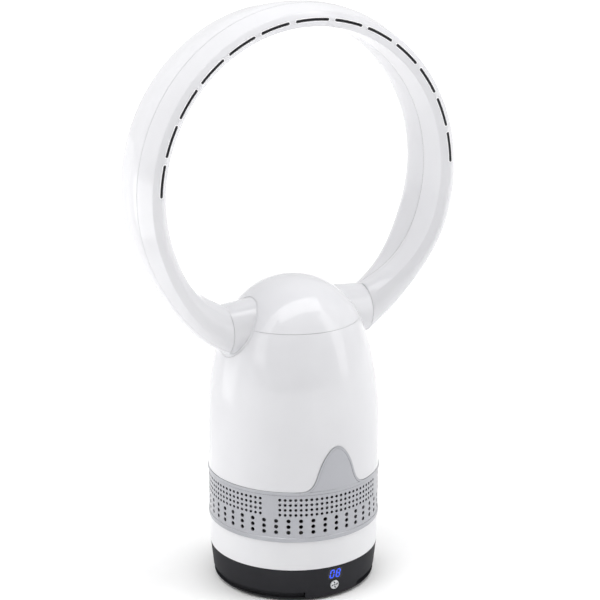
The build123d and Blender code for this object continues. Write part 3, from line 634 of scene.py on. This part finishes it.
@dataclass
class PerforatedBand:
    """Silver band with its round holes and raised lips. Sizes in mm.

    Attributes:
        radius: Outer radius of the plain wall between the lips.
        low: Height of its foot.
        high: Height of its head.
        edge: Size of the lips' bevelled edges.
        large_lift: Height of the lowest large hole over the foot.
        large_pitch: Distance from large hole to large hole, upwards.
        fields: Number of fields of small holes round the band.
        small_lift: Height of the lowest small hole over the foot.
        small_pitch: Distance from small hole to small hole, upwards.
        small_turn: Angle from column to column of a field, in degrees.
        steps: Number of flat faces round the band.
    """

    radius: float = 92.0
    wall: float = 1.7
    low: float = 70.1
    high: float = 126.8
    low_lip_height: float = 5.4
    low_lip_rise: float = 0.6
    high_lip_height: float = 3.4
    high_lip_rise: float = 1.1
    edge: float = 0.3
    large_columns: int = 44
    large_rows: int = 3
    large_radius: float = 2.2
    large_lift: float = 11.4
    large_pitch: float = 6.4
    fields: int = 4
    small_columns: int = 23
    small_rows: int = 4
    small_radius: float = 1.55
    small_lift: float = 31.1
    small_pitch: float = 5.6
    small_turn: float = 3.49
    hole_sides: int = 16
    cutter_length: float = 10.2
    steps: int = 352

    def wall_ring(self) -> Piece:
        """Return the plain band with its two raised lips."""
        inside, edge = self.radius - self.wall, self.edge
        low_face, high_face = self.radius + self.low_lip_rise, self.radius + self.high_lip_rise
        rim_top, lip_low = self.low + self.low_lip_height, self.high - self.high_lip_height
        foot_round, rim_round = 3 * edge, 2 * edge
        foot = [(inside, self.low), (low_face - foot_round, self.low), (low_face - edge, self.low + edge),
                (low_face, self.low + foot_round)]
        low_lip = [(low_face, rim_top - rim_round), (low_face - edge, rim_top - edge),
                   (self.radius, rim_top)]
        high_lip = [(self.radius, lip_low - edge), (high_face - edge, lip_low), (high_face, lip_low + edge)]
        head = [(high_face, self.high - edge), (high_face - edge, self.high), (inside, self.high)]
        profile = foot + low_lip + high_lip + head
        return turned_piece(profile, self.steps)

    def hole(self, radius: float, turn: float, height: float) -> Piece:
        """Make the cutter of one round hole.

        Args:
            radius: Radius of the hole.
            turn: Angle from the front about the upright axis, in degrees.
            height: Height of its middle.

        Returns:
            The cutter, a short round bar through the wall.
        """
        deselect()
        way = math.radians(turn)
        out = Vector((math.sin(way), -math.cos(way), 0))
        middle = out * (self.radius - self.wall / 2) * MM + Vector((0, 0, height * MM))
        bpy.ops.mesh.primitive_cylinder_add(
            vertices=self.hole_sides, radius=radius * MM, depth=self.cutter_length * MM, location=middle,
            rotation=out.to_track_quat("Z", "Y").to_euler())
        return bpy.context.object

    def row(self, radius: float, turn: float, first: float, pitch: float, count: int) -> list[Piece]:
        """Make the cutters of one upright row of holes.

        Args:
            radius: Radius of the holes.
            turn: Angle from the front about the upright axis, in degrees.
            first: Height of the lowest hole over the band's foot.
            pitch: Distance from hole to hole.
            count: Number of holes.

        Returns:
            The cutters.
        """
        return [self.hole(radius, turn, self.low + first + step * pitch) for step in range(count)]

    def cutters(self) -> Piece:
        """Return the cutters of all the holes as one object."""
        made = []
        for column in range(self.large_columns):
            turn = 360 * column / self.large_columns
            made += self.row(self.large_radius, turn, self.large_lift, self.large_pitch, self.large_rows)
        middle_column = (self.small_columns - 1) / 2
        for part in range(self.fields):
            for column in range(self.small_columns):
                turn = 360 * part / self.fields + (column - middle_column) * self.small_turn
                made += self.row(self.small_radius, turn, self.small_lift, self.small_pitch, self.small_rows)
        return join(made)

    def build(self) -> Piece:
        """Return the band with its holes cut."""
        band, holes = self.wall_ring(), self.cutters()
        modify(band, "BOOLEAN", operation="DIFFERENCE", solver="MANIFOLD", object=holes)
        bpy.data.objects.remove(holes)
        log.info("band: %d faces after the holes", len(band.data.polygons))
        return band


@dataclass
class BellTongue:
    """Bell-shaped tongue over the band: a plain field inside a raised rim. Sizes in mm.

    Attributes:
        packed: Packed band, whose upper edge gives the outline of the bell.
        field_radius: Radius of the plain field about the fan's upright axis.
        half_width: Distance from the bell's middle to its left and right end.
        low: Height of its foot, which lies inside the band's upper lip.
        probe_radius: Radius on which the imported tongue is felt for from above.
        probe_height: Height at which that starts.
        slope_step: Distance to either side at which the outline's slope is taken.
    """

    packed: Piece
    field_radius: float = 92.9
    rim_rise: float = 0.4
    rim_width: float = 2.4
    edge: float = 0.3
    wall: float = 1.7
    half_width: float = 39.9
    low: float = 123.6
    probe_radius: float = 92.3
    probe_height: float = 250.0
    slope_step: float = 1.0
    columns: int = 160
    field_rows: int = 24

    def top(self, across: float) -> float:
        """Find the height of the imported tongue's edge.

        Args:
            across: Distance from the middle, to the right.

        Returns:
            Height of the edge.
        """
        start = Vector((across, -math.sqrt(self.probe_radius ** 2 - across ** 2), self.probe_height)) * MM
        hit, place, _, _ = self.packed.ray_cast(start, Vector((0, 0, -1)))
        if not hit:
            raise ValueError(f"no tongue above the band at {across} mm")
        return place.z / MM

    def inward(self, across: float) -> Vector:
        """Find the way from the outline into the tongue, square to its edge.

        Args:
            across: Distance from the middle, to the right.

        Returns:
            Direction to the right and up, of length 1.
        """
        left = max(across - self.slope_step, -self.half_width)
        right = min(across + self.slope_step, self.half_width)
        slope = (self.top(right) - self.top(left)) / (right - left)
        return Vector((slope, -1.0)).normalized()

    def build(self) -> Piece:
        """Return the tongue as a closed piece."""
        rim = self.field_radius + self.rim_rise
        rows = [(0.0, rim - self.edge), (self.edge, rim), (self.rim_width - self.edge, rim),
                (self.rim_width, self.field_radius), (self.rim_width + self.edge, self.field_radius)]
        bands = len(rows) - 1 + self.field_rows
        deselect()
        bpy.ops.mesh.primitive_grid_add(
            x_subdivisions=self.columns, y_subdivisions=bands, size=2.0, location=(0, 0, 0))
        piece = bpy.context.object
        # The grid lends its faces: each vertex moves to its place on the tongue. The vertices of
        # one column share what was found for their distance from the middle.
        outline = {}
        for vertex in piece.data.vertices:
            across = round(vertex.co.x * self.half_width, 4)
            if across not in outline:
                outline[across] = (self.top(across), self.inward(across))
            height, inward = outline[across]
            row = round((1 - vertex.co.y) / 2 * bands)
            depth, radius = rows[min(row, len(rows) - 1)]
            x, z = across + inward.x * depth, height + inward.y * depth
            if row >= len(rows):
                share = (row - len(rows) + 1) / self.field_rows
                x, z = x + (across - x) * share, z + (self.low - z) * share
            vertex.co = Vector((x, -math.sqrt(radius ** 2 - x ** 2), z)) * MM
        face_outwards(piece)
        # The tongue is an open sheet, and its outer side is the one towards the front.
        if piece.data.polygons[0].normal.y > 0:
            piece.data.flip_normals()
        modify(piece, "SOLIDIFY", thickness=self.wall * MM, offset=-1.0)
        return piece


@dataclass
class SlotRims:
    """Thin rounded beads round the thirteen air slots, lying on the ring's nose. Sizes in mm.

    Attributes:
        shell: Packed front shell of the ring, whose nose carries the beads.
        ring_height: Height of the ring's middle.
        circle: Radius on which the slots lie.
        top_span: Angle that the slot at the top takes, in degrees.
        side_span: Angle that each other slot takes, in degrees.
        side_first: Angle from the top to the first slot of a side, in degrees.
        side_pitch: Angle from slot to slot of a side, in degrees.
        half_width: Distance from the middle of a slot to the middle of its bead.
        past_end: How far the middle of the bead passes the slot's end.
    """

    shell: Piece
    ring_height: float = 439.771
    circle: float = 170.2
    top_span: float = 13.0
    side_span: float = 11.2
    side_first: float = 14.4
    side_pitch: float = 13.5
    side_count: int = 6
    half_width: float = 1.9
    past_end: float = 0.35
    bead_half_width: float = 0.5
    bead_rise: float = 0.4
    probe_start: float = -80.0
    end_steps: int = 10
    side_steps: int = 18
    bead_steps: int = 8

    @property
    def probe_turn(self) -> float:
        """Angle from the ring's top to the middle of the gap beside the top slot, in degrees."""
        return (self.top_span / 2 + self.side_first - self.side_span / 2) / 2

    @property
    def slots(self) -> list[tuple[float, float]]:
        """Angle from the ring's top and span of every slot, in degrees."""
        sides = [(side * (self.side_first + self.side_pitch * step), self.side_span)
                 for side in (-1, 1) for step in range(self.side_count)]
        return [(0.0, self.top_span), *sides]

    def spot(self, angle: float, radius: float, forward: float) -> Vector:
        """Find a point of the ring.

        Args:
            angle: Angle from the ring's top, in radians.
            radius: Distance from the ring's middle.
            forward: Place along the front-to-back axis.

        Returns:
            The point, in metres.
        """
        return Vector((radius * math.sin(angle), forward, self.ring_height + radius * math.cos(angle))) * MM

    def surface(self, across: float) -> float:
        """Find the nose's surface in the gap between two slots.

        Args:
            across: Distance outwards from the slots' circle.

        Returns:
            Its place along the front-to-back axis.
        """
        start = self.spot(math.radians(self.probe_turn), self.circle + across, self.probe_start)
        hit, place, _, _ = self.shell.ray_cast(start, Vector((0, 1, 0)))
        if not hit:
            raise ValueError(f"no nose at {across} mm from the slots' circle")
        return place.y / MM

    def path(self, span: float) -> list[tuple[float, float, float]]:
        """List the points of one bead's middle line.

        Args:
            span: Angle that the slot takes, in degrees.

        Returns:
            Distance along the circle, distance outwards and facing of each point.
        """
        straight = math.radians(span) * self.circle / 2 - self.half_width + self.past_end
        points = []
        for side in (1, -1):
            for step in range(self.end_steps + 1):
                facing = math.pi * (step / self.end_steps - 0.5) + (0 if side > 0 else math.pi)
                points.append((side * straight + self.half_width * math.cos(facing),
                               self.half_width * math.sin(facing), facing))
            # The straight side keeps the facing with which the round end before it stops.
            for step in range(1, self.side_steps):
                along = side * straight * (1 - 2 * step / self.side_steps)
                points.append((along, side * self.half_width, facing))
        return points

    def bead(self, middle: float, span: float) -> Piece:
        """Make the bead of one slot.

        Args:
            middle: Angle of the slot from the top of the ring, in degrees.
            span: Angle that the slot takes, in degrees.

        Returns:
            The closed bead.
        """
        points = self.path(span)
        deselect()
        bpy.ops.mesh.primitive_torus_add(
            major_segments=len(points), minor_segments=self.bead_steps, major_radius=1.0, minor_radius=0.1,
            location=(0, 0, 0))
        piece = bpy.context.object
        # The torus lends its faces: its vertices, one round of the bead after the other, move
        # to their places on the nose.
        for number, vertex in enumerate(piece.data.vertices):
            along, across, facing = points[number // self.bead_steps]
            turn = math.tau * (number % self.bead_steps) / self.bead_steps
            out = self.bead_half_width * math.cos(turn)
            rise = self.bead_rise * math.sin(turn)
            angle = math.radians(middle) + (along + out * math.cos(facing)) / self.circle
            radius = self.circle + across + out * math.sin(facing)
            vertex.co = self.spot(angle, radius, self.surface(across) - rise)
        return piece

    def build(self) -> Piece:
        """Return all the beads as one piece."""
        rims = join([self.bead(middle, span) for middle, span in self.slots])
        face_outwards(rims)
        return rims


@dataclass
class FanMark:
    """Generic fan sign on the button: curved blades round a hub, printed in dark ink. Sizes in mm.

    Attributes:
        button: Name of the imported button, whose front face carries the sign.
        root_gap: Gap between the hub and a blade.
        fullness: Width of a blade near its root, as a share of its drawn width.
        taper: Share by which it narrows towards its tip.
        bend: How far its tip bends sideways, as a share of its width.
        ink: Thickness of the ink.
    """

    button: str = "power_button"
    blades: int = 4
    reach: float = 3.9
    blade_width: float = 2.1
    hub: float = 0.85
    root_gap: float = 0.25
    fullness: float = 1.25
    taper: float = 0.25
    bend: float = 0.55
    ink: float = 0.04
    points: int = 14
    hub_sides: int = 24

    def blade(self, turn: float) -> Piece:
        """Make one blade, a leaf bent to one side.

        Args:
            turn: Angle of the blade round the hub, in radians.

        Returns:
            The blade, flat and facing up.
        """
        deselect()
        bpy.ops.mesh.primitive_circle_add(
            vertices=2 * self.points, radius=1.0, fill_type="NGON", location=(0, 0, 0))
        piece = bpy.context.object
        root = self.hub + self.root_gap
        for vertex in piece.data.vertices:
            along = (vertex.co.x + 1) / 2
            half = self.blade_width / 2 * math.sqrt(along) * (self.fullness - self.taper * along)
            x = root + along * (self.reach - root)
            y = vertex.co.y * half + self.bend * along * along * self.blade_width
            vertex.co = Vector((x, y, 0)) * MM
        piece.rotation_euler = (0, 0, turn)
        settle(piece)
        return piece

    def build(self) -> Piece:
        """Return the sign, lying on the button's face."""
        parts = [self.blade(math.tau * step / self.blades) for step in range(self.blades)]
        deselect()
        bpy.ops.mesh.primitive_circle_add(
            vertices=self.hub_sides, radius=self.hub * MM, fill_type="NGON", location=(0, 0, 0))
        sign = join([*parts, bpy.context.object])
        modify(sign, "SOLIDIFY", thickness=self.ink * MM, offset=1.0)
        low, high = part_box(self.button)
        sign.rotation_euler = (math.radians(90), 0, 0)
        sign.location = ((low[0] + high[0]) / 2, low[1], (low[2] + high[2]) / 2)
        settle(sign)
        return sign


@dataclass
class FinePieces:
    """Pieces that this script makes in place of packed ones or beside them."""

    nodes: dict[str, Piece]
    band_smooth_angle: float = 32.0
    rim_smooth_angle: float = 80.0

    def build(self) -> None:
        """Make the silver band with its tongue, the rims of the slots and the sign on the button."""
        tongue = BellTongue(self.nodes["intake_grille"]).build()
        band = join([PerforatedBand().build(), tongue])
        finish_piece(band, "perforated_band", Look.SILVER, "upper", ("intake_grille",),
                     self.band_smooth_angle)
        rims = SlotRims(self.nodes["ring_front_shell"]).build()
        # The rims are drawn whiter than the shell: a painted highlight.
        finish_piece(rims, "slot_rims", Look.WHITE_RIM, "ring",
                     smooth_angle=self.rim_smooth_angle)
        mark = FanMark().build()
        finish_piece(mark, "fan_sign", Look.MARK, "button")


@dataclass(frozen=True)
class Softbox:
    """Soft lamp that faces the fan.

    Attributes:
        name: Name of the lamp.
        azimuth: Where it hangs, in degrees from the back of the fan, clockwise seen from above.
        elevation: How high it hangs, in degrees over the floor.
        distance: Distance from the point that it faces.
        width: Width of its face.
        height: Height of its face.
        radiance: Brightness of its face.
        aim_height: Height of the point that it faces.
    """

    name: str
    azimuth: float
    elevation: float
    distance: float
    width: float
    height: float
    radiance: float
    aim_height: float = 0.3

    def hang(self) -> None:
        """Add the lamp to the scene."""
        data = bpy.data.lights.new(self.name, "AREA")
        data.shape = "RECTANGLE"
        data.size, data.size_y = self.width, self.height
        data.energy = self.radiance * math.pi * self.width * self.height
        lamp = bpy.data.objects.new(self.name, data)
        bpy.context.scene.collection.objects.link(lamp)
        out = direction(self.azimuth, self.elevation)
        place = Vector((0, 0, self.aim_height)) + out * self.distance
        lamp.matrix_world = Matrix.Translation(place) @ (-out).to_track_quat("-Z", "Y").to_matrix().to_4x4()


@dataclass
class Studio:
    """White sweep in a pale light tent with softboxes, and the camera of the photograph.

    The tent is open on the side that the camera looks in from, so the middle of the body mirrors
    a darker room between two bright strips, under a bright panel.

    Attributes:
        camera_azimuth: Way that the camera looks, in degrees clockwise from the back of the fan.
        camera_pitch: Its tip over the horizon, in degrees.
        lens: Its focal length in mm, for a sensor of the width below.
        open_side: Direction in which the tent is open.
        open_from: Cosine of the angle from that direction at which the opening starts.
        roof_from: Height of a direction, from 0 to 1, from which the roof adds its light.
        floor_glow: Light that the far floor gives by itself.
        glow_start: Distance from the fan at which that light starts.
        glow_end: Distance at which it is full.
    """

    camera_place: tuple[float, float, float] = (-0.9154, -1.6200, 0.8640)
    camera_azimuth: float = 29.69
    camera_pitch: float = -16.62
    lens: float = 109.92
    sensor: float = 36.0
    nearest: float = 0.01
    farthest: float = 50.0
    tent_strength: float = 0.8
    roof_strength: float = 0.36
    roof_from: float = 0.3
    open_side: tuple[float, float, float] = (-0.25, -0.92, 0.30)
    open_strength: float = 0.1
    open_from: float = 0.1
    floor_size: float = 40.0
    floor_glow: float = 0.36
    glow_start: float = 0.4
    glow_end: float = 2.4
    softboxes: tuple[Softbox, ...] = (
        Softbox("Top_panel", 180, 79, 2.5, 3.2, 1.2, 2.6),
        Softbox("Left_strip", -98, 33, 2.5, 0.8, 2.2, 1.4),
        Softbox("Right_strip", 133, 25, 2.5, 0.8, 2.5, 1.7),
        Softbox("Low_panel", -56, 0, 0.75, 0.36, 0.34, 1.3, aim_height=0.25),
    )

    def build(self) -> None:
        """Make the sweep, the tent, the lamps and the camera."""
        self.add_sweep()
        self.add_tent()
        for softbox in self.softboxes:
            softbox.hang()
        self.add_camera()

    def add_sweep(self) -> None:
        """Make the floor of white paper, which a glow of its own lifts to white further out."""
        deselect()
        bpy.ops.mesh.primitive_plane_add(size=self.floor_size, location=(0, 0, 0))
        floor = bpy.context.object
        floor.name = floor.data.name = "Sweep"
        settle(floor)
        paper = Look.BACKDROP.material
        floor.data.materials.append(paper)
        tree = paper.node_tree
        shader = next(node for node in tree.nodes if node.bl_idname == "ShaderNodeBsdfPrincipled")
        place = add(tree, "ShaderNodeTexCoord").outputs["Object"]
        reach = add(tree, "ShaderNodeVectorMath", {0: place}, operation="LENGTH").outputs["Value"]
        glow = fade(tree, reach, self.glow_start, self.glow_end, 0.0, self.floor_glow)
        shader.inputs["Emission Color"].default_value = linear("#FFFFFF")
        tree.links.new(glow, shader.inputs["Emission Strength"])

    def add_tent(self) -> None:
        """Make the pale light tent, brighter overhead and open on one side."""
        world = bpy.data.worlds.new("Light_tent")
        bpy.context.scene.world = world
        world.use_nodes = True
        tree = world.node_tree
        tree.nodes.clear()
        way = add(tree, "ShaderNodeTexCoord").outputs["Generated"]
        facing = add(tree, "ShaderNodeVectorMath", {0: way, 1: self.open_side}, operation="DOT_PRODUCT")
        wall = fade(tree, facing.outputs["Value"], self.open_from, 1.0,
                    self.tent_strength, self.open_strength)
        rise = add(tree, "ShaderNodeSeparateXYZ", {"Vector": way}).outputs["Z"]
        roof = fade(tree, rise, self.roof_from, 1.0, 0.0, self.roof_strength)
        both = add(tree, "ShaderNodeMath", {0: wall, 1: roof}, operation="ADD").outputs["Value"]
        sky = add(tree, "ShaderNodeBackground", {"Color": linear("#FFFFFF"), "Strength": both})
        add(tree, "ShaderNodeOutputWorld", {"Surface": sky.outputs["Background"]})

    def add_camera(self) -> None:
        """Place the camera where the photograph was taken."""
        data = bpy.data.cameras.new("Camera")
        data.lens, data.sensor_width = self.lens, self.sensor
        data.clip_start, data.clip_end = self.nearest, self.farthest
        camera = bpy.data.objects.new("Camera", data)
        bpy.context.scene.collection.objects.link(camera)
        ahead = direction(self.camera_azimuth, self.camera_pitch)
        camera.matrix_world = (Matrix.Translation(self.camera_place)
                               @ ahead.to_track_quat("-Z", "Y").to_matrix().to_4x4())
        bpy.context.scene.camera = camera


def main() -> None:
    """Build the fan's looks in order."""
    logging.basicConfig(level=logging.INFO, format="%(name)s: %(message)s")
    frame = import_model()
    bpy.context.scene.view_settings.view_transform = "Standard"
    PackedPieces(frame["nodes"]).dress()
    FinePieces(frame["nodes"]).build()
    Studio().build()


if __name__ == "__main__":
    main()
